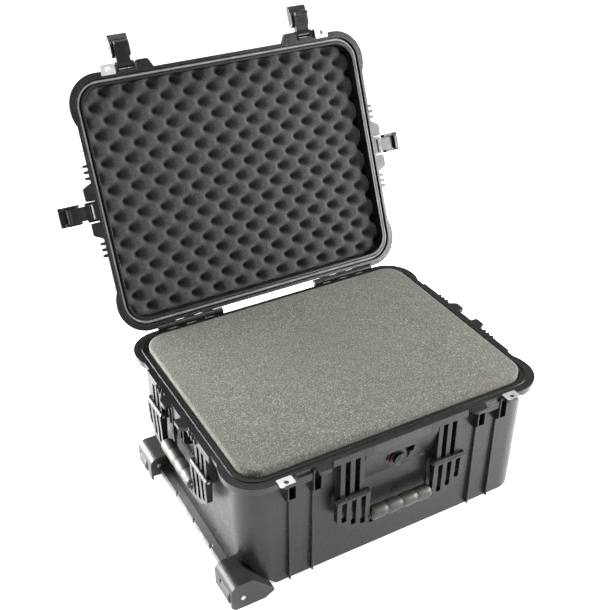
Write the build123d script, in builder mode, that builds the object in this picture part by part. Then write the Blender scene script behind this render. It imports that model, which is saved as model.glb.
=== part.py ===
from build123d import *
import os

# Hard wheeled equipment case, lid open. Millimetres, +Z up, the floor is z = 0.
# +X runs along the long side, the hinges are at +Y, the latches and the carry handle at -Y,
# the wheels at -X and the pull handle at +X.

# ---- driving dimensions -------------------------------------------------------------------
RIM_L, RIM_W = 572.0, 445.4          # centre line of the tongue and of the seal
RIM_R = 42.0                         # its corner radius
PART_Z = 247.0                       # parting plane of base and lid
LID_GAP = 0.4                        # the lid's flange stays this far above the base's
FLANGE_OUT = 10.0                    # flange edge, outside the tongue's centre line
FLANGE_T = 8.0
LOBE_OUT = 6.0                       # corner bumpers, beyond the flange
LOBE_SIZE, LOBE_R = 118.0, 57.0
SHELL_L, SHELL_W = 572.0, 444.0      # outside of the tub at the rim
SHELL_R = 46.0
DRAFT = 10.0                         # the tub is this much smaller at the bottom
EDGE_R = 6.0                         # rounding round the tub's bottom
FLOOR_Z = 26.0                       # inside floor
CAVITY_L, CAVITY_W, CAVITY_R = 556.0, 429.0, 38.0
CAVITY_DRAFT = 6.0
LID_DEEP = 46.6                      # inside top of the lid, above the parting plane
CHAMFER = -224.0                     # x + z on the slopes over the wheel housings
CHAMFER_WALL = 7.0                   # wall above those slopes
TONGUE_W, TONGUE_H = 3.0, 2.0
LID_H = 57.0
LID_FLANGE_T = 12.0
LID_ANGLE = 112.5                    # how far the open lid leans from shut

HINGE_Y, HINGE_Z = 240.0, 249.5
HINGE_X = 169.0                      # centre of each hinge
KNUCKLE_R, KNUCKLE_W, KNUCKLE_PITCH, KNUCKLES = 6.3, 18.8, 19.2, 7
HINGE_PIN_R = 2.2
PIN_SLACK = 0.05                     # radial running clearance round every pin

LATCH_X = 184.0                      # front latches
LATCH_OUT = 22.0                     # latch pivot, outside the tub's wall
LATCH_UP = 12.0                      # latch pivot, above the parting plane
LATCH_SWING = 90.0                   # the latches stand straight out
LATCH_PIN_R, LEVER_PIN_R = 2.0, 1.6
CHEEK_IN, CHEEK_OUT = 13.3, 17.8
LEVER_Y, LEVER_Z = -5.5, -20.0       # lever pivot on the claw

HANDLE_OUT = 15.0                    # handle pivot, outside the tub's wall
FRONT_PIVOT_Z, SIDE_PIVOT_Z = 155.0, 188.0
BAR_X, BAR_PITCH, BAR_W, BARS = 77.3, 18.2, 8.6, 3
LEG_W = 8.8
SLOT_ENDS = (-64.0, -58.0, -46.0)    # lower ends of the slots between the legs, inside to outside
BARREL_R, HANDLE_PIN_R = 6.5, 2.5
GRIP_DROP, GRIP_R, GRIP_CORE_R, GRIP_HALF = 56.0, 12.0, 7.5, 60.0
HOOD_DROP = 14.0                     # hood over the bars, below the parting plane
VALVE_Z = 190.0

WHEEL_X, WHEEL_Z, WHEEL_R = -298.0, 25.0, 24.0
WHEEL_Y, WHEEL_W = 211.0, 34.0
HUB_R, BEARING_R, BEARING_W, AXLE_R = 17.0, 11.0, 7.0, 4.0
HOUSING_IN, HOUSING_OUT = 172.0, 236.0
REAR_SHIFT = -60.0                   # the rear housing stands off the front one's mirror place
HOUSING_SKIN = 6 / 2 ** 0.5          # its wall along the sloped end
HOUSING_ROUND = 16.0                 # rounding of its top
HOUSING_SPANS = (
    (-300.0, 0.5 - HOUSING_IN),
    (HOUSING_IN + REAR_SHIFT - 0.5, HOUSING_OUT + REAR_SHIFT + 0.5),
)
SCREW_IN = 5.0                       # housing screws, depth in the base
SCREWS = [(x, y) for x in (-252, -270) for y in (-179, 179 + REAR_SHIFT)]
RAIL_IN, RAIL_OUT, RAIL_LOW, RAIL_HIGH = -281.7, -297.0, 8.0, 20.0
RAIL_SCREWS = (-66, 8)
CLAMP_X, CLAMP_SCREW, CLAMP_SCREW_R = (-95, 235), 11.6, 1.6

TUBE_Y, TUBE_Z = 73.0, 12.0
TUBE_R, TUBE_BORE, GUIDE_R = 7.2, 5.8, 8.5
TUBE_START, TUBE_END = -120.0, 268.0

FOAM_PROUD = 14.5                    # the base foam stands this far above the rim
LID_FOAM_UP = 15.0                   # face of the lid foam, above the parting plane
FOAM_STEP_1, FOAM_STEP_2 = 80.0, 165.0
FOAM_GAP = 0.4                       # foam to shell
FOAM_TRIM = 1.5                      # base foam to the cavity's mouth, so that the lid passes over it

# ---- frames -------------------------------------------------------------------------------
LID_POSE = (
    Location((0, HINGE_Y, HINGE_Z))
    * Location((0, 0, 0), (-LID_ANGLE, 0, 0))
    * Location((0, -HINGE_Y, -HINGE_Z))
)
WALL_FRONT = SHELL_W / 2
WALL_SIDE = SHELL_L / 2


def wall_frame(side, along, out, up):
    """Frame on a wall: X along the wall, Y into the case, Z up; out is measured from the tub."""
    origin, x_dir = {
        "front": ((along, -WALL_FRONT - out, up), (1, 0, 0)),
        "left": ((-WALL_SIDE - out, along, up), (0, -1, 0)),
        "right": ((WALL_SIDE + out, along, up), (0, 1, 0)),
    }[side]
    return Plane(origin=origin, x_dir=x_dir, z_dir=(0, 0, 1)).location


def on(pose, plane):
    """A sketch plane carried along with a pose."""
    return Plane(pose * plane.location)


LATCHES = {
    "front_left": wall_frame("front", -LATCH_X, LATCH_OUT, PART_Z + LATCH_UP),
    "front_right": wall_frame("front", LATCH_X, LATCH_OUT, PART_Z + LATCH_UP),
    "left_side": wall_frame("left", 0, LATCH_OUT, PART_Z + LATCH_UP),
    "right_side": wall_frame("right", 0, LATCH_OUT, PART_Z + LATCH_UP),
}
HANDLES = {
    "front": wall_frame("front", 0, HANDLE_OUT, FRONT_PIVOT_Z),
    "left": wall_frame("left", 0, HANDLE_OUT, SIDE_PIVOT_Z),
    "right": wall_frame("right", 0, HANDLE_OUT, SIDE_PIVOT_Z),
}
BASE_ARM = [(228, 240), (238, 240), (244.5, 245), (246.3, 249.5), (234, 249.5), (234.5, 246.7), (228, 246.7)]
LID_ARM = [(228, 259), (228, 249), (234, 248.6), (240, 243.4), (246.2, 250), (244, 255), (237, 259)]
PADLOCK_R = 4.3
PLATE_T, PLATE_RECESS = 1.5, 1.6
SCREW_R, SCREW_HEAD_R = 2.5, 5.0
OUTER_EAR = {"front_left": -1, "front_right": 1}      # the side that carries a padlock plate


def save(part, name):
    part.label = name
    export_step(part, f"parts/{name}.step")


os.makedirs("parts", exist_ok=True)


# ---- shapes shared by base and lid --------------------------------------------------------
def rim_band(plane, half_width, height):
    """Closed band along the rim's centre line."""
    with BuildPart(mode=Mode.PRIVATE) as band:
        with BuildSketch(plane):
            RectangleRounded(RIM_L + 2 * half_width, RIM_W + 2 * half_width, RIM_R + half_width)
            RectangleRounded(
                RIM_L - 2 * half_width, RIM_W - 2 * half_width, RIM_R - half_width, mode=Mode.SUBTRACT
            )
        extrude(amount=height)
    return band.part


def flange(plane, height, lobe_height):
    """Rim flange with its four corner bumpers, filled in the middle."""
    length, width = RIM_L + 2 * FLANGE_OUT, RIM_W + 2 * FLANGE_OUT
    with BuildPart(mode=Mode.PRIVATE) as body:
        with BuildSketch(plane):
            RectangleRounded(length, width, RIM_R + FLANGE_OUT)
        extrude(amount=height)
        with BuildSketch(plane):
            reach = LOBE_OUT - LOBE_SIZE / 2
            with GridLocations(length + 2 * reach, width + 2 * reach, 2, 2):
                RectangleRounded(LOBE_SIZE, LOBE_SIZE, LOBE_R)
        extrude(amount=lobe_height, taper=8)
    return body.part


def tub(low_z, high_z, closed_low, length, width, radius, edge, draft):
    """Drafted block with one rounded closed end; length and width are those of its open end."""
    closed_z, open_z = (low_z, high_z) if closed_low else (high_z, low_z)
    with BuildPart(mode=Mode.PRIVATE) as body:
        with BuildSketch(Plane.XY.offset(closed_z)):
            RectangleRounded(length - draft, width - draft, radius - draft / 2)
        with BuildSketch(Plane.XY.offset(open_z)):
            RectangleRounded(length, width, radius)
        loft()
        end_faces = body.faces().filter_by(Axis.Z).sort_by(Axis.Z)
        closed_face = end_faces[0] if closed_low else end_faces[-1]
        fillet(closed_face.edges(), edge)
    return body.part


def ear_plate(pose, z_low, thick):
    """Pair of ears beside a latch, flared towards the flange."""
    with BuildPart(mode=Mode.PRIVATE) as ears:
        with BuildSketch(on(pose, Plane.XY.offset(z_low))):
            for sign in (-1, 1):
                with BuildLine():
                    Polyline(
                        (sign * 20, 16), (sign * 20, -3), (sign * 23, -5), (sign * 41, -5),
                        (sign * 44, -2), (sign * 53, 16), close=True,
                    )
                make_face()
        extrude(amount=thick)
    return ears.part


def teeth(pose, z_low, thick):
    """Three small ribs on each side of a side latch."""
    with BuildPart(mode=Mode.PRIVATE) as ribs:
        with BuildSketch(on(pose, Plane.XY.offset(z_low))):
            for sign in (-1, 1):
                for offset in (60, 71, 82):
                    with Locations((sign * offset, 9)):
                        RectangleRounded(5, 10, 1.5)
        extrude(amount=thick)
    return ribs.part


def hinge_knuckles(first, arm, bore_r):
    """Every second knuckle of both hinges, each on an arm with the given outline."""
    with BuildPart(mode=Mode.PRIVATE) as knuckles:
        for centre in (-HINGE_X, HINGE_X):
            for index in range(first, KNUCKLES, 2):
                x = centre + (index - (KNUCKLES - 1) / 2) * KNUCKLE_PITCH - KNUCKLE_W / 2
                with BuildSketch(Plane.YZ.offset(x)):
                    with BuildLine():
                        Polyline(*arm, close=True)
                    make_face()
                    with Locations((HINGE_Y, HINGE_Z)):
                        Circle(KNUCKLE_R)
                        Circle(bore_r, mode=Mode.SUBTRACT)
                extrude(amount=KNUCKLE_W)
    return knuckles.part


def hinge_room():
    """Clear space round the knuckles of both hinges."""
    with BuildPart(mode=Mode.PRIVATE) as room:
        for centre in (-HINGE_X, HINGE_X):
            with BuildSketch(Plane.YZ.offset(centre - KNUCKLES * KNUCKLE_PITCH / 2)):
                with Locations((HINGE_Y, HINGE_Z)):
                    Circle(KNUCKLE_R + 0.9)
            extrude(amount=KNUCKLES * KNUCKLE_PITCH)
    return room.part


def wedge(offset):
    """Room for the two wheel housings under their slopes, grown by the offset."""
    line = CHAMFER + offset * 2 ** 0.5
    with BuildPart(mode=Mode.PRIVATE) as block:
        for low, high in HOUSING_SPANS:
            with BuildSketch(Plane.XZ.offset(-high - offset)):
                with BuildLine():
                    Polyline((line + 40, -40), (-340, line + 340), (-340, -40), close=True)
                make_face()
            extrude(amount=high - low + 2 * offset)
    return block.part


def inside(gap):
    """Room inside the base, kept back from its wall and floor by the gap."""
    length, width = CAVITY_L - 2 * gap, CAVITY_W - 2 * gap
    room = tub(FLOOR_Z + gap, PART_Z + 16, True, length, width, CAVITY_R, 12, CAVITY_DRAFT)
    return room - wedge(CHAMFER_WALL + gap)


def lid_inside(gap):
    """Room inside the lid, closed position."""
    return tub(
        PART_Z - 1, PART_Z + LID_DEEP - gap, False, CAVITY_L - 2 * gap, CAVITY_W - 2 * gap, CAVITY_R, 10, 3
    )


def padlock_plates(z, thick, grow, bore_r):
    """Rectangles on the outer ears of the front latches, each with the padlock hole."""
    with BuildPart(mode=Mode.PRIVATE) as plates:
        for name, side in OUTER_EAR.items():
            with BuildSketch(on(LATCHES[name], Plane.XY.offset(z))):
                with Locations((side * 35, 4.5)):
                    RectangleRounded(27 + grow, 18 + grow, 2)
                if bore_r:
                    with Locations((side * 35, 3)):
                        Circle(bore_r, mode=Mode.SUBTRACT)
            extrude(amount=thick)
    return plates.part


def padlock_holes():
    """Bores through base ear, both plates and lid ear."""
    with BuildPart(mode=Mode.PRIVATE) as bores:
        for name, side in OUTER_EAR.items():
            with BuildSketch(on(LATCHES[name], Plane.XY.offset(-19.5))):
                with Locations((side * 35, 3)):
                    Circle(PADLOCK_R)
            extrude(amount=40)
    return bores.part


def slope_screws(head):
    """Screws that hold the wheel housings to the sloped end; without heads they are the bores."""
    with BuildPart(mode=Mode.PRIVATE) as screws:
        for x, y in SCREWS:
            pose = Location((x, y, CHAMFER - x)) * Location((0, 0, 0), (0, 45, 0))
            with BuildSketch(on(pose, Plane.XY.offset(SCREW_IN))):
                Circle(SCREW_R)
            extrude(amount=-SCREW_IN - HOUSING_SKIN)
            if head:
                with BuildSketch(on(pose, Plane.XY.offset(-HOUSING_SKIN))):
                    Circle(SCREW_HEAD_R)
                extrude(amount=-3)
    return screws.part


def rail_screws(head):
    """Screws that hold the rail to the end wall; without heads they are the bores."""
    with BuildPart(mode=Mode.PRIVATE) as screws:
        for y in RAIL_SCREWS:
            with BuildSketch(Plane.YZ.offset(RAIL_OUT + 3)):
                with Locations((y, (RAIL_LOW + RAIL_HIGH) / 2)):
                    Circle(SCREW_R)
            extrude(amount=RAIL_IN + 12 - RAIL_OUT - 3)
            if head:
                with BuildSketch(Plane.YZ.offset(RAIL_OUT)):
                    with Locations((y, (RAIL_LOW + RAIL_HIGH) / 2)):
                        Circle(SCREW_HEAD_R - 0.3)
                extrude(amount=3)
    return screws.part


def clamp_screws(x):
    """Screw positions of the two tube clamps at x."""
    return [(x, side * TUBE_Y + step) for side in (-1, 1) for step in (-CLAMP_SCREW, CLAMP_SCREW)]


# ---- base shell ---------------------------------------------------------------------------
base_body = tub(0, PART_Z, True, SHELL_L, SHELL_W, SHELL_R, EDGE_R, DRAFT) - wedge(0)

BAR_AXES = [sign * (BAR_X + BAR_PITCH * index) for sign in (-1, 1) for index in range(BARS)]

with BuildPart() as base_shell:
    add(base_body)
    add(flange(Plane.XY.offset(PART_Z), -FLANGE_T, -14))
    add(rim_band(Plane.XY.offset(PART_Z), TONGUE_W / 2, TONGUE_H))

    # latch bays: an open box on each side of the strike bar, ears on top; ribs in front
    for pose in LATCHES.values():
        for start in (-31, 15):
            with BuildSketch(on(pose, Plane.YZ.offset(start))):
                with BuildLine():
                    Polyline((28, -14), (6, -14), (6, -57), (14, -65), (28, -65), close=True)
                make_face()
            extrude(amount=16)
        with BuildSketch(on(pose, Plane.XZ.offset(-22.6))):
            for sign in (-1, 1):
                with Locations((sign * 23, -39.5)):
                    RectangleRounded(12, 41, 1.5)
        extrude(amount=40, mode=Mode.SUBTRACT)
        with BuildSketch(on(pose, Plane.YZ)):
            with BuildLine():
                Polyline((28, -14), (14, -14), (8, -20), (8, -35), (16, -35), (28, -40), close=True)
            make_face()
        extrude(amount=15.5, both=True)
        add(ear_plate(pose, -LATCH_UP, -7))
    for name in OUTER_EAR:
        with BuildSketch(on(LATCHES[name], Plane.XY.offset(-60))):
            for sign in (-1, 1):
                with Locations((sign * 21.5, 28)):
                    RectangleRounded(3.6, 18, 1.2)
        extrude(amount=-(PART_Z + LATCH_UP - 68))
    for side in ("left_side", "right_side"):
        add(teeth(LATCHES[side], -LATCH_UP, -9))
    add(padlock_plates(-LATCH_UP + 1, -PLATE_RECESS - 1, 0.4, 0), mode=Mode.SUBTRACT)
    add(padlock_holes(), mode=Mode.SUBTRACT)

    # hoods, handle bars and their knuckles
    for pose in HANDLES.values():
        drop = pose.position.Z
        hood_top = PART_Z - drop
        with BuildSketch(on(pose, Plane.XY.offset(hood_top))):
            with Locations((0, 10)):
                Rectangle(264, 18)
        extrude(amount=-HOOD_DROP)
        for x in BAR_AXES:
            with BuildSketch(on(pose, Plane.YZ.offset(x - BAR_W / 2))):
                with BuildLine():
                    Polyline(
                        (20, hood_top - 6), (1, hood_top - 6), (1, 4), (-BARREL_R, 0), (0, -BARREL_R),
                        (20, -BARREL_R - 8), close=True,
                    )
                make_face()
                Circle(BARREL_R)
                Circle(HANDLE_PIN_R + PIN_SLACK, mode=Mode.SUBTRACT)
            extrude(amount=BAR_W)

    # sloped centre panel behind the front handle, with the nameplate and valve recesses
    with BuildSketch(Plane.YZ.offset(-71)):
        with BuildLine():
            Polyline((-236, PART_Z), (-236, 227), (-218, 158), (-212, 158), (-212, PART_Z), close=True)
        make_face()
    extrude(amount=142)
    with BuildSketch(Plane.XZ.offset(234.4)):
        with Locations((0, 236)):
            RectangleRounded(114, 19, 1.5)
    extrude(amount=10, mode=Mode.SUBTRACT)
    with BuildSketch(Plane.XZ.offset(220)):
        with Locations((0, VALVE_Z)):
            Circle(22)
        with Locations((0, VALVE_Z + 14)):
            RectangleRounded(56, 16, 3)
    extrude(amount=30, mode=Mode.SUBTRACT)
    with BuildSketch(Plane.XZ.offset(190)):
        with Locations((0, VALVE_Z)):
            Circle(9)
    extrude(amount=40, mode=Mode.SUBTRACT)

    # shallow hand recesses behind the grips
    for pose in HANDLES.values():
        with BuildSketch(on(pose, Plane.XZ.offset(-20.5))):
            with Locations((0, -GRIP_DROP + 2)):
                RectangleRounded(134, 76, 20)
        extrude(amount=8, mode=Mode.SUBTRACT)

    # hinge knuckles
    add(hinge_room(), mode=Mode.SUBTRACT)
    add(hinge_knuckles(0, BASE_ARM, HINGE_PIN_R))

    # inside
    add(inside(0), mode=Mode.SUBTRACT)

    # underside: two tube channels, weight-saving pockets between ribs, grip recess
    with BuildSketch(Plane.XY):
        with Locations((90, -TUBE_Y), (90, TUBE_Y)):
            Rectangle(460, 30)
    extrude(amount=21, mode=Mode.SUBTRACT)
    with BuildSketch(Plane.XY):
        with GridLocations(78, 33, 6, 1):
            with Locations((20, 0)):
                Rectangle(70, 60)
        for sign in (-1, 1):
            with Locations((20, sign * 147)):
                with GridLocations(78, 47, 6, 2):
                    Rectangle(70, 40)
    extrude(amount=20, mode=Mode.SUBTRACT)
    with BuildSketch(Plane.XY):
        Rectangle(530, 14)
    extrude(amount=21)
    with BuildSketch(Plane.XZ.offset(-112)):
        with BuildLine():
            Polyline((278, 2), (304, 8), (306, 12), (306, 26), (296, 34), (278, 34), close=True)
        make_face()
    extrude(amount=14)
    with BuildSketch(Plane.XZ.offset(98)):
        with BuildLine():
            Polyline((278, 2), (304, 8), (306, 12), (306, 26), (296, 34), (278, 34), close=True)
        make_face()
    extrude(amount=14)

    # screw holes
    add(slope_screws(False), mode=Mode.SUBTRACT)
    add(rail_screws(False), mode=Mode.SUBTRACT)
    with BuildSketch(Plane.XY.offset(21)):
        for x in CLAMP_X:
            with Locations(*clamp_screws(x)):
                Circle(CLAMP_SCREW_R)
    extrude(amount=3.5, mode=Mode.SUBTRACT)
save(base_shell.part, "base_shell")


# ---- lid shell ----------------------------------------------------------------------------
LID_Z = PART_Z + LID_GAP

with BuildPart() as lid_closed:
    add(tub(LID_Z, PART_Z + 53, False, SHELL_L, SHELL_W, SHELL_R, 16, 8))
    add(flange(Plane.XY.offset(LID_Z), LID_FLANGE_T, 15))

    # raised ribs on the top
    with BuildSketch(Plane.XY.offset(PART_Z + 50)):
        with GridLocations(0, 116, 1, 3):
            RectangleRounded(440, 56, 14)
    extrude(amount=LID_H - 50, taper=20)

    # ears beside the latches, small ribs, and the latch lugs
    for name, pose in LATCHES.items():
        add(ear_plate(pose, LID_GAP - LATCH_UP, LID_FLANGE_T))
        if name not in OUTER_EAR:
            add(teeth(pose, LID_GAP - LATCH_UP, LID_FLANGE_T))
        for x in (-CHEEK_OUT, CHEEK_IN):
            with BuildSketch(on(pose, Plane.YZ.offset(x))):
                with BuildLine():
                    Polyline((-3, 5.7), (26, 22), (26, -5), (12, -8), (0, -6.5), close=True)
                make_face()
                Circle(6.5)
                Circle(LATCH_PIN_R, mode=Mode.SUBTRACT)
            extrude(amount=CHEEK_OUT - CHEEK_IN)
        with BuildSketch(on(pose, Plane.YZ)):
            with BuildLine():
                low = LID_GAP + 1 - LATCH_UP
                Polyline((6.8, low), (14, low), (14, 9), (6.8, 4), close=True)
            make_face()
        extrude(amount=CHEEK_IN + 1, both=True)

    # hinge knuckles
    add(hinge_room(), mode=Mode.SUBTRACT)
    add(hinge_knuckles(1, LID_ARM, HINGE_PIN_R + PIN_SLACK))

    add(padlock_plates(LID_GAP - LATCH_UP - 1, PLATE_RECESS + 1, 0.4, 0), mode=Mode.SUBTRACT)
    add(padlock_holes(), mode=Mode.SUBTRACT)

    # inside, seal groove
    add(lid_inside(0), mode=Mode.SUBTRACT)
    add(rim_band(Plane.XY.offset(LID_Z), 4.5, 8), mode=Mode.SUBTRACT)
lid_shell = LID_POSE * lid_closed.part
save(lid_shell, "lid_shell")

lid_seal = LID_POSE * rim_band(Plane.XY.offset(LID_Z + 3), 2.6, 5)
save(lid_seal, "lid_seal")


# ---- hinge pins ---------------------------------------------------------------------------
for name, centre in (("left", -HINGE_X), ("right", HINGE_X)):
    with BuildPart() as hinge_pin:
        with BuildSketch(Plane.YZ.offset(centre - KNUCKLES * KNUCKLE_PITCH / 2)):
            with Locations((HINGE_Y, HINGE_Z)):
                Circle(HINGE_PIN_R)
        extrude(amount=KNUCKLES * KNUCKLE_PITCH)
    save(hinge_pin.part, f"hinge_pin_{name}")


# ---- latches ------------------------------------------------------------------------------
def pin(pose, centre_y, centre_z, radius, length):
    """Pin along the local X axis."""
    with BuildPart(mode=Mode.PRIVATE) as rod:
        with BuildSketch(on(pose, Plane.YZ)):
            with Locations((centre_y, centre_z)):
                Circle(radius)
        extrude(amount=length / 2, both=True)
    return rod.part


for name, frame in LATCHES.items():
    # drawn hanging shut, then swung straight out; the lid's pose comes last
    pose = frame * Location((0, 0, 0), (-LATCH_SWING, 0, 0))
    with BuildPart() as claw:
        with BuildSketch(on(pose, Plane.YZ)):
            with BuildLine():
                Polyline(
                    (-6, 0), (-6, -8), (-6.6, -15.6), (-9.3, -20), (-9.3, -38), (-5, -42), (10.5, -42),
                    (12, -40.5), (12, -36.5), (10.5, -36), (4.5, -36), (4.5, -8), (6, 0), close=True,
                )
            make_face()
            Circle(6)
            Circle(LATCH_PIN_R + PIN_SLACK, mode=Mode.SUBTRACT)
            with Locations((LEVER_Y, LEVER_Z)):
                Circle(LEVER_PIN_R + PIN_SLACK, mode=Mode.SUBTRACT)
        extrude(amount=CHEEK_IN - 0.4, both=True)
    save(LID_POSE * claw.part, f"latch_claw_{name}")

    with BuildPart() as lever:
        with BuildSketch(on(pose, Plane.YZ)):
            with BuildLine():
                Polyline(
                    (-14.5, -20), (-10.1, -20), (-10.1, -43.2), (-4, -43.2), (-3, -46), (-6, -54),
                    (-10, -55.5), (-14.5, -51), close=True,
                )
            make_face()
        extrude(amount=18, both=True)
        with BuildSketch(on(pose, Plane.YZ)):
            with BuildLine():
                Polyline(
                    (-14.5, -20), (LEVER_Y, -14.5), (0, -20), (0, -38), (-4, -46), (-14.5, -46), close=True,
                )
            make_face()
            with Locations((LEVER_Y, LEVER_Z)):
                Circle(LEVER_PIN_R, mode=Mode.SUBTRACT)
        extrude(amount=18, both=True)
        with BuildSketch(on(pose, Plane.YZ)):
            with BuildLine():
                Polyline(
                    (-10.1, -12), (-10.1, -43.2), (8, -43.2), (8, -12), close=True,
                )
            make_face()
            with BuildLine():
                Polyline(
                    (-10.1, -12), (-16, -12), (-16, -20), (-10.1, -20), close=True,
                )
            make_face()
        extrude(amount=CHEEK_IN + 0.1, both=True, mode=Mode.SUBTRACT)
    save(LID_POSE * lever.part, f"latch_lever_{name}")
    save(LID_POSE * pin(pose, 0, 0, LATCH_PIN_R, 2 * CHEEK_OUT), f"latch_pin_{name}")
    save(LID_POSE * pin(pose, LEVER_Y, LEVER_Z, LEVER_PIN_R, 36), f"lever_pin_{name}")


# ---- padlock plates -----------------------------------------------------------------------
save(padlock_plates(-LATCH_UP - PLATE_RECESS, PLATE_T, 0, PADLOCK_R), "padlock_plates_base")
lid_plates = padlock_plates(LID_GAP - LATCH_UP + PLATE_RECESS, -PLATE_T, 0, PADLOCK_R)
save(LID_POSE * lid_plates, "padlock_plates_lid")


# ---- handles ------------------------------------------------------------------------------
LEG_AXES = [
    sign * (BAR_X + BAR_PITCH * (index - 0.5)) for sign in (-1, 1) for index in range(BARS + 1)
]
PLATE_END = LEG_AXES[-1] + LEG_W / 2
PLATE_START = BAR_X - BAR_PITCH / 2 - LEG_W / 2

for name, pose in HANDLES.items():
    with BuildPart() as handle:
        for x in LEG_AXES:
            with BuildSketch(on(pose, Plane.YZ.offset(x - LEG_W / 2))):
                with BuildLine():
                    Polyline((-BARREL_R, 0), (-5, -40), (5, -40), (BARREL_R, 0), close=True)
                make_face()
                Circle(BARREL_R)
            extrude(amount=LEG_W)
        with BuildSketch(on(pose, Plane.XZ.offset(-5))):
            with BuildLine():
                Polyline(
                    (PLATE_START, -26), (PLATE_END, -26), (PLATE_END, -42), (PLATE_START + 34, -68),
                    (PLATE_START + 6, -75), (-PLATE_START - 6, -75), (-PLATE_START - 34, -68),
                    (-PLATE_END, -42), (-PLATE_END, -26), (-PLATE_START, -26), (-PLATE_START, -69.5),
                    (PLATE_START, -69.5), close=True,
                )
            make_face()
        extrude(amount=10)
        with BuildSketch(on(pose, Plane.YZ)):
            with Locations((0, -GRIP_DROP)):
                Circle(GRIP_CORE_R)
        extrude(amount=PLATE_START + 1, both=True)
        for x, slot_end in zip(BAR_AXES, SLOT_ENDS + SLOT_ENDS):
            with BuildSketch(on(pose, Plane.XZ.offset(-20))):
                with Locations((x, slot_end / 2)):
                    RectangleRounded(BAR_PITCH - LEG_W, -slot_end, 3)
            extrude(amount=40, mode=Mode.SUBTRACT)
        with BuildSketch(on(pose, Plane.YZ)):
            Circle(HANDLE_PIN_R)
        extrude(amount=140, both=True, mode=Mode.SUBTRACT)
    save(handle.part, f"handle_{name}")

    with BuildPart() as grip:
        with BuildSketch(on(pose, Plane.YZ)):
            with Locations((0, -GRIP_DROP)):
                Circle(GRIP_R - 1.8)
        extrude(amount=GRIP_HALF, both=True)
        for index in range(4):
            with BuildSketch(on(pose, Plane.YZ.offset(-GRIP_HALF + 0.6 + 29.8 * index))):
                with Locations((0, -GRIP_DROP)):
                    Circle(GRIP_R)
            extrude(amount=28.4)
        with BuildSketch(on(pose, Plane.YZ)):
            with Locations((0, -GRIP_DROP)):
                Circle(GRIP_CORE_R)
        extrude(amount=GRIP_HALF, both=True, mode=Mode.SUBTRACT)
    save(grip.part, f"handle_grip_{name}")

    with BuildPart() as handle_pins:
        for sign in (-1, 1):
            start = sign * (PLATE_START + PLATE_END) / 2 - (PLATE_END - PLATE_START) / 2
            with BuildSketch(on(pose, Plane.YZ.offset(start))):
                Circle(HANDLE_PIN_R)
            extrude(amount=PLATE_END - PLATE_START)
    save(handle_pins.part, f"handle_pins_{name}")


# ---- nameplate and purge valve ------------------------------------------------------------
with BuildPart() as nameplate:
    with BuildSketch(Plane.XZ.offset(234.4)):
        with Locations((0, 236)):
            RectangleRounded(113.4, 18.4, 1.2)
    extrude(amount=1.5)
save(nameplate.part, "nameplate")

with BuildPart() as valve_body:
    with BuildSketch(Plane.XZ.offset(214.6)):
        with Locations((0, VALVE_Z)):
            Circle(9)
    extrude(amount=7)
    with BuildSketch(Plane.XZ.offset(221.5)):
        with Locations((0, VALVE_Z)):
            Circle(16.5)
    extrude(amount=5.5)
    with BuildSketch(Plane.XZ.offset(215)):
        with Locations((0, VALVE_Z)):
            Circle(4 + PIN_SLACK)
    extrude(amount=20, mode=Mode.SUBTRACT)
save(valve_body.part, "valve_body")

with BuildPart() as valve_seal:
    with BuildSketch(Plane.XZ.offset(220)):
        with Locations((0, VALVE_Z)):
            Circle(17.2)
            Circle(9, mode=Mode.SUBTRACT)
    extrude(amount=1.5)
save(valve_seal.part, "valve_seal")

with BuildPart() as valve_knob:
    with BuildSketch(Plane.XZ.offset(227.4)):
        with Locations((0, VALVE_Z)):
            Circle(12)
        with Locations((0, VALVE_Z)):
            with PolarLocations(12, 12):
                Circle(1.4, mode=Mode.SUBTRACT)
    extrude(amount=5)
    with BuildSketch(Plane.XZ.offset(215.5)):
        with Locations((0, VALVE_Z)):
            Circle(4)
    extrude(amount=12.5)
save(valve_knob.part, "valve_knob")


# ---- wheels -------------------------------------------------------------------------------
def across(side, near, far):
    """Plane from which extruding far - near covers that span of Y on the given side."""
    return Plane.XZ.offset(near if side < 0 else -far - REAR_SHIFT)


WHEEL_NEAR, WHEEL_FAR = WHEEL_Y - WHEEL_W / 2, WHEEL_Y + WHEEL_W / 2
CHAMBER_NEAR, CHAMBER_FAR = WHEEL_NEAR - 3.5, WHEEL_FAR + 3.5
HOUSING_OUTLINE = [(-319, 10), (-312, 3), (-258, 3), (-238.5, 14.5), (-281, 57), (-319, 57)]
HOUSING_INSIDE = [(-315, -2), (-315, 44), (-306, 53), (-283, 53), (-246, 16), (-256, 8), (-256, -2)]

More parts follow.
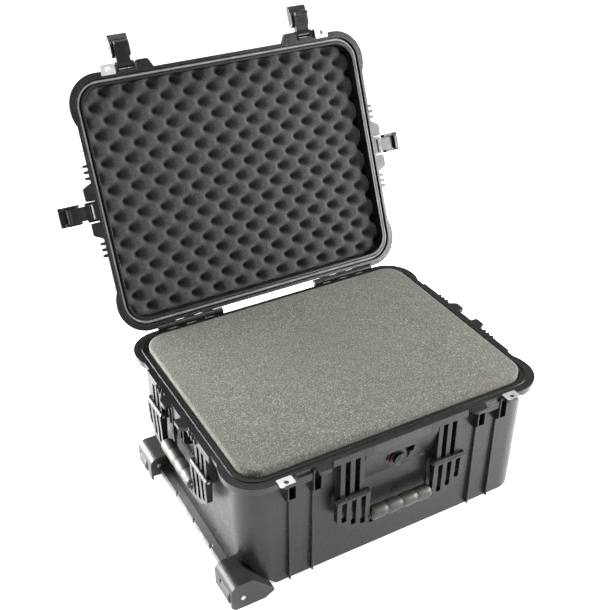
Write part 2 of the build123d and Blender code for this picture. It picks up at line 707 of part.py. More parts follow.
for name, side in (("front", -1), ("rear", 1)):
    with BuildPart() as housing:
        with BuildSketch(across(side, HOUSING_IN, HOUSING_OUT)):
            with BuildLine():
                Polyline(*HOUSING_OUTLINE, close=True)
            make_face()
            fillet(vertices().group_by(Axis.X)[0].sort_by(Axis.Y)[-1:], HOUSING_ROUND)
            fillet(vertices().sort_by(Axis.X)[-1:], 4)
        extrude(amount=HOUSING_OUT - HOUSING_IN)
        for near, far in ((HOUSING_IN, CHAMBER_NEAR - 4.5), (CHAMBER_NEAR, CHAMBER_FAR)):
            with BuildSketch(across(side, near, far)):
                with BuildLine():
                    Polyline(*HOUSING_INSIDE, close=True)
                make_face()
            extrude(amount=far - near, mode=Mode.SUBTRACT)
        for near, far in ((CHAMBER_NEAR - 4.5, WHEEL_NEAR - 0.4), (WHEEL_FAR + 0.4, HOUSING_OUT)):
            with BuildSketch(across(side, near, far)):
                with Locations((WHEEL_X, WHEEL_Z)):
                    Circle(7)
            extrude(amount=far - near)
        with BuildSketch(across(side, CHAMBER_NEAR, CHAMBER_FAR)):
            with Locations((WHEEL_X, WHEEL_Z)):
                Circle(WHEEL_R + 2)
                Circle(WHEEL_R - 8, mode=Mode.SUBTRACT)
        extrude(amount=CHAMBER_FAR - CHAMBER_NEAR, mode=Mode.SUBTRACT)
        with BuildSketch(across(side, CHAMBER_NEAR - 4.5, HOUSING_OUT)):
            with Locations((WHEEL_X, WHEEL_Z)):
                Circle(AXLE_R)
        extrude(amount=HOUSING_OUT - CHAMBER_NEAR + 4.5, mode=Mode.SUBTRACT)
        add(slope_screws(False), mode=Mode.SUBTRACT)
    save(housing.part, f"wheel_housing_{name}")

    with BuildPart() as tyre:
        with BuildSketch(across(side, WHEEL_NEAR, WHEEL_FAR)):
            with Locations((WHEEL_X, WHEEL_Z)):
                Circle(WHEEL_R)
        extrude(amount=WHEEL_W)
        chamfer(tyre.edges().filter_by(GeomType.CIRCLE), 2)
        with BuildSketch(across(side, WHEEL_NEAR, WHEEL_FAR)):
            with Locations((WHEEL_X, WHEEL_Z)):
                Circle(HUB_R)
        extrude(amount=WHEEL_W, mode=Mode.SUBTRACT)
    save(tyre.part, f"wheel_tyre_{name}")

    with BuildPart() as hub:
        with BuildSketch(across(side, WHEEL_NEAR, WHEEL_FAR)):
            with Locations((WHEEL_X, WHEEL_Z)):
                Circle(HUB_R)
                Circle(AXLE_R + 2, mode=Mode.SUBTRACT)
        extrude(amount=WHEEL_W)
        for near, far in ((WHEEL_NEAR, WHEEL_NEAR + BEARING_W), (WHEEL_FAR - BEARING_W, WHEEL_FAR)):
            with BuildSketch(across(side, near, far)):
                with Locations((WHEEL_X, WHEEL_Z)):
                    Circle(BEARING_R)
            extrude(amount=BEARING_W, mode=Mode.SUBTRACT)
    save(hub.part, f"wheel_hub_{name}")

    with BuildPart() as bearings:
        for near, far in ((WHEEL_NEAR, WHEEL_NEAR + BEARING_W), (WHEEL_FAR - BEARING_W, WHEEL_FAR)):
            with BuildSketch(across(side, near, far)):
                with Locations((WHEEL_X, WHEEL_Z)):
                    Circle(BEARING_R)
                    Circle(AXLE_R + PIN_SLACK, mode=Mode.SUBTRACT)
            extrude(amount=BEARING_W)
    save(bearings.part, f"wheel_bearings_{name}")

    with BuildPart() as axle:
        with BuildSketch(across(side, CHAMBER_NEAR - 4.5, HOUSING_OUT)):
            with Locations((WHEEL_X, WHEEL_Z)):
                Circle(AXLE_R)
        extrude(amount=HOUSING_OUT - CHAMBER_NEAR + 4.5)
    save(axle.part, f"wheel_axle_{name}")

save(slope_screws(True) + rail_screws(True), "housing_screws")

with BuildPart() as rail:
    with BuildSketch(Plane.XY.offset(RAIL_LOW)):
        with BuildLine():
            Polyline(
                (RAIL_OUT, -HOUSING_IN - 10), (RAIL_IN, -HOUSING_IN - 10),
                (RAIL_IN, HOUSING_IN + REAR_SHIFT + 10), (RAIL_OUT, HOUSING_IN + REAR_SHIFT + 10),
                close=True,
            )
        make_face()
        for y in (45, -31, -102):
            with Locations((RAIL_OUT, y)):
                Rectangle(9, 7, mode=Mode.SUBTRACT)
    extrude(amount=RAIL_HIGH - RAIL_LOW)
    add(rail_screws(True), mode=Mode.SUBTRACT)
save(rail.part, "wheel_rail")


# ---- pull handle --------------------------------------------------------------------------
with BuildPart() as tube_guides:
    with BuildSketch(Plane.YZ.offset(TUBE_START)):
        with Locations((-TUBE_Y, TUBE_Z), (TUBE_Y, TUBE_Z)):
            Circle(GUIDE_R)
            Circle(TUBE_R + PIN_SLACK, mode=Mode.SUBTRACT)
    extrude(amount=TUBE_END - TUBE_START)
save(tube_guides.part, "tube_guides")

with BuildPart() as tube_clamps:
    for x in CLAMP_X:
        with BuildSketch(Plane.XY.offset(2)):
            with Locations((x, -TUBE_Y), (x, TUBE_Y)):
                RectangleRounded(14, 29.6, 2)
        extrude(amount=19)
        with BuildSketch(Plane.XY.offset(2)):
            with Locations(*clamp_screws(x)):
                Circle(CLAMP_SCREW_R)
        extrude(amount=19, mode=Mode.SUBTRACT)
    with BuildSketch(Plane.YZ.offset(TUBE_START)):
        with Locations((-TUBE_Y, TUBE_Z), (TUBE_Y, TUBE_Z)):
            Circle(GUIDE_R)
    extrude(amount=TUBE_END - TUBE_START, mode=Mode.SUBTRACT)
save(tube_clamps.part, "tube_clamps")

with BuildPart() as screws:
    for x in CLAMP_X:
        with BuildSketch(Plane.XY.offset(2)):
            with Locations(*clamp_screws(x)):
                Circle(CLAMP_SCREW_R)
        extrude(amount=22.5)
        with BuildSketch(Plane.XY.offset(2)):
            with Locations(*clamp_screws(x)):
                Circle(2.9)
        extrude(amount=-1.4)
save(screws.part, "clamp_screws")

with BuildPart() as pull_tubes:
    with BuildSketch(Plane.YZ.offset(TUBE_START + 10)):
        with Locations((-TUBE_Y, TUBE_Z), (TUBE_Y, TUBE_Z)):
            Circle(TUBE_R)
            Circle(TUBE_BORE, mode=Mode.SUBTRACT)
    extrude(amount=299 - TUBE_START - 10)
save(pull_tubes.part, "pull_tubes")

with BuildPart() as pull_grip:
    with BuildSketch(Plane.XY.offset(3)):
        with Locations((294.25, 0)):
            RectangleRounded(21.5, 172, 4)
        with Locations((287.5, 0)):
            Rectangle(9, 120, mode=Mode.SUBTRACT)
    extrude(amount=24)
    with BuildSketch(Plane.YZ.offset(280)):
        with Locations((-TUBE_Y, TUBE_Z), (TUBE_Y, TUBE_Z)):
            Circle(TUBE_R)
    extrude(amount=19, mode=Mode.SUBTRACT)
    with BuildSketch(Plane.YZ.offset(295.5)):
        with Locations((0, 16)):
            Rectangle(28.6, 12.6)
    extrude(amount=20, mode=Mode.SUBTRACT)
save(pull_grip.part, "pull_grip")

with BuildPart() as release_button:
    with BuildSketch(Plane.YZ.offset(299)):
        with Locations((0, 16)):
            Rectangle(28, 12)
    extrude(amount=7.5)
save(release_button.part, "release_button")


# ---- foam ---------------------------------------------------------------------------------
FOAM_LAYERS = {
    "base_foam_pad": (FLOOR_Z, FOAM_STEP_1),
    "base_foam_middle": (FOAM_STEP_1, FOAM_STEP_2),
    "base_foam_top": (FOAM_STEP_2, PART_Z + FOAM_PROUD),
}
for name, (low, high) in FOAM_LAYERS.items():
    with BuildPart() as layer:
        add(inside(FOAM_GAP))
        with BuildSketch(Plane.XY.offset(low)):
            RectangleRounded(
                CAVITY_L - 2 * FOAM_TRIM, CAVITY_W - 2 * FOAM_TRIM, CAVITY_R - FOAM_TRIM
            )
        extrude(amount=high - low, mode=Mode.INTERSECT)
    save(layer.part, name)

with BuildPart() as lid_foam:
    add(lid_inside(FOAM_GAP))
    with BuildSketch(Plane.XY.offset(PART_Z + LID_FOAM_UP)):
        Rectangle(700, 600)
    extrude(amount=60, mode=Mode.INTERSECT)
save(LID_POSE * lid_foam.part, "lid_foam")
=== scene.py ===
from math import cos, pi, radians, sin, sqrt

import bpy
from mathutils import Matrix, Vector, noise


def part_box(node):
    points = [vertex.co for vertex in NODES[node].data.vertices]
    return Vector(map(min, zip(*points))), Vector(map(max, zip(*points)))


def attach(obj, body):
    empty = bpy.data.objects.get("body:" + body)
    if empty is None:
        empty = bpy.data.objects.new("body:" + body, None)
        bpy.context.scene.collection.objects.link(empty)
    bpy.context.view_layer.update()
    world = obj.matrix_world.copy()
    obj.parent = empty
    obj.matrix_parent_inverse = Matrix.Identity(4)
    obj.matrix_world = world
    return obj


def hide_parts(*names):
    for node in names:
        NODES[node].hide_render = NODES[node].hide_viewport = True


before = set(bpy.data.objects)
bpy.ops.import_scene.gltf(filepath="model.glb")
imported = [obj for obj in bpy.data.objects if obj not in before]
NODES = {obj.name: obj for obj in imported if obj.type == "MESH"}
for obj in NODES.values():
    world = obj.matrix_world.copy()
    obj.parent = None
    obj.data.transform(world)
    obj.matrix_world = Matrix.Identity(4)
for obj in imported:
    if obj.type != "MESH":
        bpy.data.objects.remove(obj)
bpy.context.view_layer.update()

# ---- measures shared with the CAD model, in metres ----------------------------------------
PZ = 0.247                    # parting plane
HINGE = Vector((0, 0.240, 0.2495))
LID_ANGLE = radians(112.5)
LID = Matrix.Translation(HINGE) @ Matrix.Rotation(-LID_ANGLE, 4, "X") @ Matrix.Translation(-HINGE)


# ---- camera -------------------------------------------------------------------------------
def make_camera():
    data = bpy.data.cameras.new("camera")
    data.sensor_fit = "HORIZONTAL"
    data.angle = radians(34.548)
    data.clip_end = 50
    camera = bpy.data.objects.new("camera", data)
    camera.location = (-0.7365, -1.2279, 1.2877)
    camera.rotation_euler = (radians(90 - 32.83), 0, radians(-29.13))
    bpy.context.scene.collection.objects.link(camera)
    bpy.context.scene.camera = camera


make_camera()


# ---- materials ----------------------------------------------------------------------------
class Nodes:
    """Short hand for building a node tree."""

    def __init__(self, name):
        self.mat = bpy.data.materials.new(name)
        self.mat.use_nodes = True
        self.tree = self.mat.node_tree
        self.bsdf = self.tree.nodes["Principled BSDF"]
        self.coord = self.tree.nodes.new("ShaderNodeTexCoord").outputs["Object"]

    def add(self, kind, **inputs):
        node = self.tree.nodes.new(kind)
        for key, value in inputs.items():
            socket = node.inputs[key.replace("_", " ")]
            if isinstance(value, bpy.types.NodeSocket):
                self.tree.links.new(value, socket)
            else:
                socket.default_value = value
        return node

    def noise(self, scale, detail=2.0, rough=0.5):
        inputs = {"Vector": self.coord, "Scale": scale, "Detail": detail, "Roughness": rough}
        return self.add("ShaderNodeTexNoise", **inputs).outputs["Fac"]

    def voronoi(self, scale, feature="F1"):
        node = self.add("ShaderNodeTexVoronoi", Vector=self.coord, Scale=scale)
        node.feature = feature
        return node.outputs["Distance"]

    def ramp(self, value, stops):
        node = self.add("ShaderNodeValToRGB", Fac=value)
        ramp = node.color_ramp
        while len(ramp.elements) < len(stops):
            ramp.elements.new(0.5)
        for element, (place, color) in zip(ramp.elements, stops):
            element.position = place
            element.color = (*color, 1) if len(color) == 3 else color
        return node.outputs["Color"]

    def spread(self, value, low, high, to_low, to_high):
        node = self.add("ShaderNodeMapRange", Value=value)
        node.inputs["From Min"].default_value = low
        node.inputs["From Max"].default_value = high
        node.inputs["To Min"].default_value = to_low
        node.inputs["To Max"].default_value = to_high
        return node.outputs["Result"]

    def math(self, operation, a, b=0.0):
        node = self.tree.nodes.new("ShaderNodeMath")
        node.operation = operation
        for socket, value in zip(node.inputs, (a, b)):
            if isinstance(value, bpy.types.NodeSocket):
                self.tree.links.new(value, socket)
            else:
                socket.default_value = value
        return node.outputs[0]

    def mix(self, fac, a, b, blend="MIX"):
        node = self.tree.nodes.new("ShaderNodeMix")
        node.data_type = "RGBA"
        node.blend_type = blend
        for socket, value in ((node.inputs[0], fac), (node.inputs[6], a), (node.inputs[7], b)):
            if isinstance(value, bpy.types.NodeSocket):
                self.tree.links.new(value, socket)
            else:
                socket.default_value = (*value, 1) if isinstance(value, tuple) and len(value) == 3 else value
        return node.outputs[2]

    def soft_edges(self, radius):
        node = self.add("ShaderNodeBevel", Radius=radius)
        node.samples = 4
        return node.outputs["Normal"]

    def edge_mask(self, radius):
        """1 near a sharp convex or concave edge, 0 on flats."""
        rounded = self.soft_edges(radius)
        flat = self.tree.nodes.new("ShaderNodeNewGeometry").outputs["Normal"]
        dot = self.tree.nodes.new("ShaderNodeVectorMath")
        dot.operation = "DOT_PRODUCT"
        self.tree.links.new(rounded, dot.inputs[0])
        self.tree.links.new(flat, dot.inputs[1])
        return self.spread(dot.outputs["Value"], 0.995, 0.86, 0, 1)

    def bump(self, height, strength, distance, normal=None):
        node = self.add("ShaderNodeBump", Height=height, Strength=strength, Distance=distance)
        if normal is not None:
            self.tree.links.new(normal, node.inputs["Normal"])
        return node.outputs["Normal"]

    def finish(self, color, rough, normal, **constants):
        for key, value in (("Base Color", color), ("Roughness", rough), ("Normal", normal)):
            socket = self.bsdf.inputs[key]
            if isinstance(value, bpy.types.NodeSocket):
                self.tree.links.new(value, socket)
            elif value is not None:
                socket.default_value = (*value, 1) if isinstance(value, tuple) else value
        for key, value in constants.items():
            self.bsdf.inputs[key.replace("_", " ")].default_value = value
        return self.mat


def moulded(name, dark, light, rough, grain, depth, edge=0.0012, wear=0.35):
    """Moulded resin with spark-eroded grain, faint flow mottling, dust in the grain and paler worn edges."""
    n = Nodes(name)
    fine = n.noise(grain, 3, 0.6)
    cells = n.voronoi(grain * 0.8)
    height = n.math("ADD", fine, n.math("MULTIPLY", cells, 0.8))
    flow = n.ramp(n.noise(9, 5, 0.62), [(0.32, dark), (0.72, light)])
    scuffs = n.spread(n.noise(55, 8, 0.7), 0.58, 0.78, 0, 0.35)
    color = n.mix(scuffs, flow, tuple(c * 1.8 for c in light))
    edges = n.math("MULTIPLY", n.edge_mask(edge), n.spread(n.noise(140, 4, 0.6), 0.35, 0.7, 0.2, 1))
    color = n.mix(n.math("MULTIPLY", edges, wear), color, tuple(min(1, c * 3.2) for c in light))
    roughness = n.spread(n.noise(30, 4, 0.6), 0.3, 0.7, rough - 0.06, rough + 0.08)
    normal = n.bump(height, depth, 0.0004, n.soft_edges(edge))
    return n.finish(color, roughness, normal, Specular_IOR_Level=0.32)


def steel(name, tint, rough, scratch=240.0):
    """Metal with fine directional brushing and small stains."""
    n = Nodes(name)
    stretch = n.add("ShaderNodeMapping", Vector=n.coord)
    stretch.inputs["Scale"].default_value = (0.08, 1, 1)
    along = stretch.outputs["Vector"]
    lines = n.add("ShaderNodeTexNoise", Vector=along, Scale=scratch * 8, Detail=3.0).outputs["Fac"]
    color = n.ramp(n.noise(60, 4, 0.6), [(0.3, tuple(c * 0.8 for c in tint)), (0.65, tint)])
    roughness = n.spread(lines, 0.3, 0.7, rough - 0.07, rough + 0.1)
    normal = n.bump(lines, 0.25, 0.0001, n.soft_edges(0.0005))
    return n.finish(color, roughness, normal, Metallic=1.0)


def foam(name, dark, mid, light, cell, speck):
    """Open-cell foam: small cells, light and dark specks, no shine."""
    n = Nodes(name)
    cells = n.voronoi(cell)
    grain = n.noise(cell * 0.7, 4, 0.75)
    tone = n.ramp(grain, [(0.3, dark), (0.52, mid), (0.72, light)])
    broad = n.spread(n.noise(7, 3, 0.5), 0.3, 0.7, 0.86, 1.08)
    tone = n.mix(1.0, tone, n.ramp(broad, [(0.0, (0, 0, 0)), (1.0, (1, 1, 1))]), "MULTIPLY")
    holes = n.spread(cells, 0.1, 0.45, 0, 1)
    light_specks = n.spread(n.noise(speck, 2, 0.6), 0.56, 0.66, 0, 1)
    tone = n.mix(n.math("MULTIPLY", light_specks, 0.8), tone, light)
    dark_specks = n.spread(n.noise(speck * 1.3, 2, 0.6), 0.46, 0.36, 0, 1)
    tone = n.mix(n.math("MULTIPLY", dark_specks, 0.85), tone, dark)
    normal = n.bump(n.math("ADD", n.math("MULTIPLY", holes, 0.6), grain), 0.6, 0.0009)
    return n.finish(tone, 0.95, normal, Sheen_Weight=0.15, Sheen_Roughness=0.6)


def rubber(name, dark, light, rough, edge=0.001):
    """Rubber rubbed shiny by hands, with a dusty bloom in the dull parts."""
    n = Nodes(name)
    color = n.ramp(n.noise(38, 6, 0.62), [(0.34, dark), (0.66, light)])
    bloom = n.spread(n.noise(170, 6, 0.7), 0.5, 0.75, 0, 0.4)
    color = n.mix(bloom, color, tuple(c * 1.7 for c in light))
    roughness = n.spread(n.noise(45, 5, 0.65), 0.3, 0.7, rough - 0.12, rough + 0.14)
    normal = n.bump(n.noise(1500, 3, 0.6), 0.3, 0.0003, n.soft_edges(edge))
    return n.finish(color, roughness, normal, Specular_IOR_Level=0.6)


M_SHELL = moulded(
    "shell_resin_grained", (0.005, 0.005, 0.0055), (0.009, 0.009, 0.0095), 0.28, 1100, 0.35
)
# Lighter copy of the shell resin for the wheel housings: painted reflection brightening their tops, with
# stronger edge wear as well.
M_HOUSING_PAINTED_REFLECTION = moulded(
    "housing_resin_painted_reflection", (0.012, 0.012, 0.0125), (0.035, 0.035, 0.036), 0.34, 1100, 0.5, 0.002, 0.6
)
# Much lighter copy of the shell resin for the wheel rail: painted reflection, standing in for the light its
# top catches; edge wear as on the shell.
M_RAIL_PAINTED_REFLECTION = moulded(
    "rail_resin_painted_reflection", (0.07, 0.07, 0.072), (0.16, 0.16, 0.163), 0.45, 1100, 0.5, 0.0015, 0.6
)
M_FITTING = moulded(
    "fittings_satin", (0.004, 0.004, 0.0045), (0.008, 0.008, 0.009), 0.27, 1800, 0.25, 0.0009, 0.5
)
M_WHEEL = moulded("wheel_nylon", (0.015, 0.015, 0.016), (0.026, 0.026, 0.027), 0.45, 1300, 0.4)
M_PLATE = moulded(
    "nameplate_satin", (0.018, 0.018, 0.02), (0.03, 0.03, 0.032), 0.42, 2200, 0.2, 0.0005, 0.3
)
M_STEEL = steel("steel_plain", (0.52, 0.52, 0.53), 0.34)
M_STAINLESS = steel("stainless_stamped", (0.66, 0.66, 0.65), 0.36)
M_ALU = steel("aluminium_drawn", (0.75, 0.76, 0.77), 0.3)
M_GRIP = rubber("grip_rubber", (0.010, 0.009, 0.006), (0.022, 0.020, 0.014), 0.5)
M_SEAL = rubber("seal_rubber", (0.10, 0.10, 0.10), (0.19, 0.19, 0.19), 0.6)
M_RED = rubber("seal_red", (0.42, 0.012, 0.02), (0.6, 0.03, 0.04), 0.4)
M_TREAD = rubber("tread_rubber", (0.02, 0.02, 0.02), (0.045, 0.044, 0.042), 0.6)
M_FOAM = foam("foam_grey", (0.019, 0.018, 0.014), (0.068, 0.064, 0.052), (0.26, 0.247, 0.205), 620, 400)
M_LIDFOAM = foam(
    "foam_charcoal", (0.003, 0.003, 0.003), (0.010, 0.010, 0.009), (0.055, 0.053, 0.046), 700, 460
)


def paint(material, *names):
    for name in names:
        mesh = NODES[name].data
        mesh.materials.clear()
        mesh.materials.append(material)


SIDES = ("front_left", "front_right", "left_side", "right_side")
WALLS = ("front", "left", "right")
ENDS = ("front", "rear")
paint(M_SHELL, "base_shell", "lid_shell", "valve_body")
# Rail and wheel housings get lighter copies of the shell resin: painted reflection.
paint(M_RAIL_PAINTED_REFLECTION, "wheel_rail")
paint(M_HOUSING_PAINTED_REFLECTION, *(f"wheel_housing_{end}" for end in ENDS))
paint(M_FITTING, "pull_grip", "release_button", "tube_clamps", "valve_knob")
paint(M_FITTING, *(f"latch_claw_{side}" for side in SIDES), *(f"latch_lever_{side}" for side in SIDES))
paint(M_FITTING, *(f"handle_{wall}" for wall in WALLS))
paint(M_PLATE, "nameplate")
paint(M_STAINLESS, "padlock_plates_base", "padlock_plates_lid")
paint(M_STEEL, "hinge_pin_left", "hinge_pin_right", "housing_screws", "clamp_screws")
paint(M_STEEL, *(f"latch_pin_{side}" for side in SIDES), *(f"lever_pin_{side}" for side in SIDES))
paint(M_STEEL, *(f"handle_pins_{wall}" for wall in WALLS))
paint(M_STEEL, *(f"wheel_axle_{end}" for end in ENDS), *(f"wheel_bearings_{end}" for end in ENDS))
paint(M_WHEEL, *(f"wheel_hub_{end}" for end in ENDS))
paint(M_TREAD, *(f"wheel_tyre_{end}" for end in ENDS))
paint(M_ALU, "pull_tubes")
paint(M_WHEEL, "tube_guides")
paint(M_RED, "valve_seal")
paint(M_GRIP, *(f"handle_grip_{wall}" for wall in WALLS))
paint(M_SEAL, "lid_seal")
paint(M_FOAM, "base_foam_pad", "base_foam_middle", "base_foam_top")
paint(M_LIDFOAM, "lid_foam")


# ---- building pieces ----------------------------------------------------------------------
def piece(name, verts, faces, material, body, place=None, smooth=True):
    """A mesh in metres that rides on a body; place moves it from its drawn position."""
    mesh = bpy.data.meshes.new(name)
    mesh.from_pydata([tuple(v) for v in verts], [], faces)
    if place is not None:
        mesh.transform(place)
    mesh.validate()
    mesh.materials.append(material)
    mesh.polygons.foreach_set("use_smooth", [smooth] * len(mesh.polygons))
    thing = bpy.data.objects.new(name, mesh)
    bpy.context.scene.collection.objects.link(thing)
    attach(thing, body)
    return thing


def rounded_rect(length, width, radius, per_corner=10, step=0.012):
    """Closed outline, counter-clockwise from the right side's top, filled along the straights."""
    corners = [
        (length / 2 - radius, width / 2 - radius, 0), (-length / 2 + radius, width / 2 - radius, 90),
        (-length / 2 + radius, -width / 2 + radius, 180), (length / 2 - radius, -width / 2 + radius, 270),
    ]
    points = []
    for cx, cy, start in corners:
        arc = []
        for i in range(per_corner + 1):
            a = radians(start + 90 * i / per_corner)
            arc.append(Vector((cx + radius * cos(a), cy + radius * sin(a))))
        if points:
            gap = arc[0] - points[-1]
            count = max(1, int(gap.length / step))
            points += [points[-1] + gap * (k / count) for k in range(1, count)]
        points += arc
    gap = points[0] - points[-1]
    count = max(1, int(gap.length / step))
    points += [points[-1] + gap * (k / count) for k in range(1, count)]
    return points


def loft(rings, close_ends=True, loop=False):
    """Quads between equal rings of points."""
    verts = [p for ring in rings for p in ring]
    n = len(rings[0])
    faces = []
    count = len(rings) if loop else len(rings) - 1
    for r in range(count):
        a, b = r * n, ((r + 1) % len(rings)) * n
        for k in range(n):
            j = (k + 1) % n
            faces.append((a + k, a + j, b + j, b + k))
    if close_ends and not loop:
        faces.append(tuple(range(n - 1, -1, -1)))
        faces.append(tuple((len(rings) - 1) * n + k for k in range(n)))
    return verts, faces


def foam_block(name, low, high, length, width, radius, crown, material, body, edge):
    """Cut foam block: soft upper edge, slightly crowned and uneven top."""
    outline = rounded_rect(length, width, radius, 10, 0.01)
    rings = []
    for z in (low, low + 0.004, (low + high) / 2, high - edge):
        rings.append([Vector((p.x, p.y, z)) for p in outline])
    for i in range(1, 6):
        a = i / 5 * pi / 2
        inset = edge * (1 - cos(a))
        scale_x, scale_y = 1 - 2 * inset / length, 1 - 2 * inset / width
        rings.append([Vector((p.x * scale_x, p.y * scale_y, high - edge + edge * sin(a))) for p in outline])
    steps = 46
    for i in range(1, steps):
        s = 1 - i / steps
        ring = []
        for p in outline:
            x, y = p.x * s * (1 - 2 * edge / length), p.y * s * (1 - 2 * edge / width)
            lift = crown * (1 - s ** 2.2)
            ripple = 0.0009 * noise.noise(Vector((x * 9, y * 9, 3.1)))
            ripple += 0.0005 * noise.noise(Vector((x * 60, y * 60, 1.7)))
            ring.append(Vector((x, y, high + lift + ripple * min(1, i / 4))))
        rings.append(ring)
    verts, faces = loft(rings)
    return piece(name, verts, faces, material, body)


low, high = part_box("base_foam_top")
base_foam = foam_block(
    "base_foam_top_cut", low.z, high.z - 0.0035, high.x - low.x - 0.002,
    high.y - low.y - 0.002, 0.037, 0.002, M_FOAM, "base", 0.004,
)
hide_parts("base_foam_top")
for layer in ("middle", "pad"):
    low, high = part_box(f"base_foam_{layer}")
    block = foam_block(
        f"base_foam_{layer}_cut", low.z + 0.0005, high.z - 0.0005, high.x - low.x - 0.004,
        high.y - low.y - 0.004, 0.034, 0.0, M_FOAM, "base", 0.003,
    )
    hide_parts(f"base_foam_{layer}")


# ---- convoluted lid foam, drawn closed ----------------------------------------------------
def lid_foam():
    length, width, radius = 0.5535, 0.4265, 0.036
    face, back = PZ + 0.0160, PZ + 0.0455
    pitch_x, pitch_y = 0.0463, 0.0502
    nx, ny = 190, 150
    verts, faces = [], []

    def half(y):
        over = abs(y) - (width / 2 - radius)
        return length / 2 if over <= 0 else length / 2 - radius + sqrt(max(0, radius ** 2 - over ** 2))

    for j in range(ny + 1):
        y = -width / 2 + width * j / ny
        y = max(-width / 2 + 1e-5, min(width / 2 - 1e-5, y))
        for i in range(nx + 1):
            x = (2 * i / nx - 1) * half(y)
            wave = cos(2 * pi * (x + 0.0024) / pitch_x) * cos(2 * pi * (y + 0.204) / pitch_y)
            wave = (wave + 1) / 2
            depth = 0.0200 * wave ** 2.2
            wobble = 0.0016 * noise.noise(Vector((x * 21, y * 21, 0.4)))
            rim = min(half(y) - abs(x), width / 2 - abs(y))
            droop = 0.003 * max(0, 1 - rim / 0.008) ** 2
            verts.append(Vector((x, y, face + depth + wobble + droop + 0.001)))
    row = nx + 1
    for j in range(ny):
        for i in range(nx):
            a = j * row + i
            faces.append((a, a + row, a + row + 1, a + 1))
    edge = [i for i in range(row)]
    edge += [j * row + nx for j in range(1, ny + 1)]
    edge += [ny * row + i for i in range(nx - 1, -1, -1)]
    edge += [j * row for j in range(ny - 1, 0, -1)]
    start = len(verts)
    for index in edge:
        v = verts[index]
        verts.append(Vector((v.x * 0.995, v.y * 0.995, back)))
    n = len(edge)
    for k in range(n):
        j = (k + 1) % n
        faces.append((edge[k], edge[j], start + j, start + k))
    faces.append(tuple(start + k for k in range(n)))
    thing = piece("lid_foam_convoluted", verts, faces, M_LIDFOAM, "lid", LID)
    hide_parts("lid_foam")


lid_foam()


# ---- seal cord ----------------------------------------------------------------------------
CORD_R, CORD_UP, CORD_SIDES = 0.0026, 0.0058, 16


def seal():
    """Round cord in the lid's groove."""
    outline = rounded_rect(0.572, 0.4454, 0.042, 14, 0.01)
    n = len(outline)
    rings = []
    for k, p in enumerate(outline):
        tangent = (outline[(k + 1) % n] - outline[k - 1]).normalized()
        out = Vector((tangent.y, -tangent.x))
        ring = []
        for i in range(CORD_SIDES):
            a = 2 * pi * i / CORD_SIDES
            reach = CORD_R * cos(a)
            ring.append(Vector((p.x + out.x * reach, p.y + out.y * reach, PZ + CORD_UP + CORD_R * sin(a))))
        rings.append(ring)
    verts, faces = loft(rings, close_ends=False, loop=True)
    thing = piece("lid_seal_cord", verts, faces, M_SEAL, "lid", LID)
    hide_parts("lid_seal")


seal()


# ---- turned parts -------------------------------------------------------------------------
def turned(profile, place, steps=40):
    """Solid of revolution about Z from (radius, height) points, closed at both ends."""
    turns = [2 * pi * k / steps for k in range(steps)]
    rings = [
        [Vector((radius * cos(a), radius * sin(a), height)) for a in turns] for radius, height in profile
    ]
    verts, faces = loft(rings)
    return [place @ v for v in verts], faces


def grips():
    """Four barrel-shaped rubber segments on every carry handle, with thin necks between them."""
    middles = {"front": (0, -0.237, 0.099), "left": (-0.301, 0, 0.132), "right": (0.301, 0, 0.132)}
    for wall, middle in middles.items():
        turn = Matrix.Rotation(pi / 2, 4, "Y") if wall == "front" else Matrix.Rotation(-pi / 2, 4, "X")
        profile = []
        for index in range(4):
            start = -0.0596 + 0.0298 * index
            for i in range(13):
                s = i / 12
                bulge = sin(pi * s) ** 0.3
                profile.append((0.0108 + 0.0018 * bulge, start + 0.0298 * s))
        verts, faces = turned(profile, Matrix.Translation(middle) @ turn)
        grip = piece(f"grip_segments_{wall}", verts, faces, M_GRIP, f"handle_{wall}")
        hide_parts(f"handle_grip_{wall}")


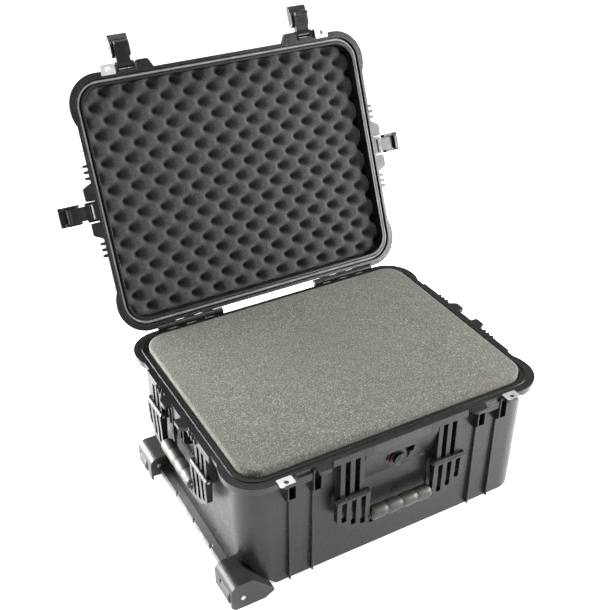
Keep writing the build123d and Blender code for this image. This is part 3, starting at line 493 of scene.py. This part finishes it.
def knob_rings():
    """Raised rings on the face of the purge valve's knob."""
    place = Matrix.Translation((0, -0.2322, 0.190)) @ Matrix.Rotation(pi / 2, 4, "X")
    profile = [
        (0.0118, 0), (0.0114, 0.0008), (0.0102, 0.0008), (0.0098, 0.0003), (0.0078, 0.0003), (0.0074, 0.0009),
        (0.0062, 0.0009), (0.0058, 0.0003), (0.0032, 0.0003), (0.0028, 0.001), (0.0004, 0.0011),
    ]
    verts, faces = turned(profile, place)
    rings = piece("valve_knob_rings", verts, faces, M_FITTING, "valve_knob", smooth=False)


grips()
knob_rings()


# ---- stage --------------------------------------------------------------------------------
def stage():
    mesh = bpy.data.meshes.new("floor")
    half = 20.0
    corners = [(-half, -half, 0), (half, -half, 0), (half, half, 0), (-half, half, 0)]
    mesh.from_pydata(corners, [], [(0, 1, 2, 3)])
    floor = bpy.data.objects.new("floor", mesh)
    bpy.context.scene.collection.objects.link(floor)
    n = Nodes("floor_pale")
    mesh.materials.append(n.finish(
        (0.86, 0.86, 0.86), 0.7, None, Emission_Color=(1, 1, 1, 1), Emission_Strength=0.65
    ))

    def area(name, place, aim, size, power, color=(1, 1, 1)):
        data = bpy.data.lights.new(name, "AREA")
        data.shape = "RECTANGLE"
        data.size, data.size_y = size
        data.energy = power
        data.color = color
        lamp = bpy.data.objects.new(name, data)
        lamp.location = place
        lamp.visible_camera = False
        lamp.rotation_euler = (Vector(aim) - Vector(place)).to_track_quat("-Z", "Y").to_euler()
        bpy.context.scene.collection.objects.link(lamp)

    area("key_left", (-1.5, 1.2, 0.5), (-0.28, 0, 0.18), (1.6, 0.9), 170)
    area("top", (0.3, 0.4, 2.6), (0, 0, 0.2), (1.8, 1.8), 48)
    area("front_right", (1.5, -1.0, 0.7), (0.25, -0.22, 0.12), (0.9, 0.7), 85)
    world = bpy.data.worlds.new("studio")
    world.use_nodes = True
    world.node_tree.nodes["Background"].inputs["Color"].default_value = (1, 1, 1, 1)
    world.node_tree.nodes["Background"].inputs["Strength"].default_value = 0.45
    bpy.context.scene.world = world
    bpy.context.scene.view_settings.view_transform = "Standard"


stage()
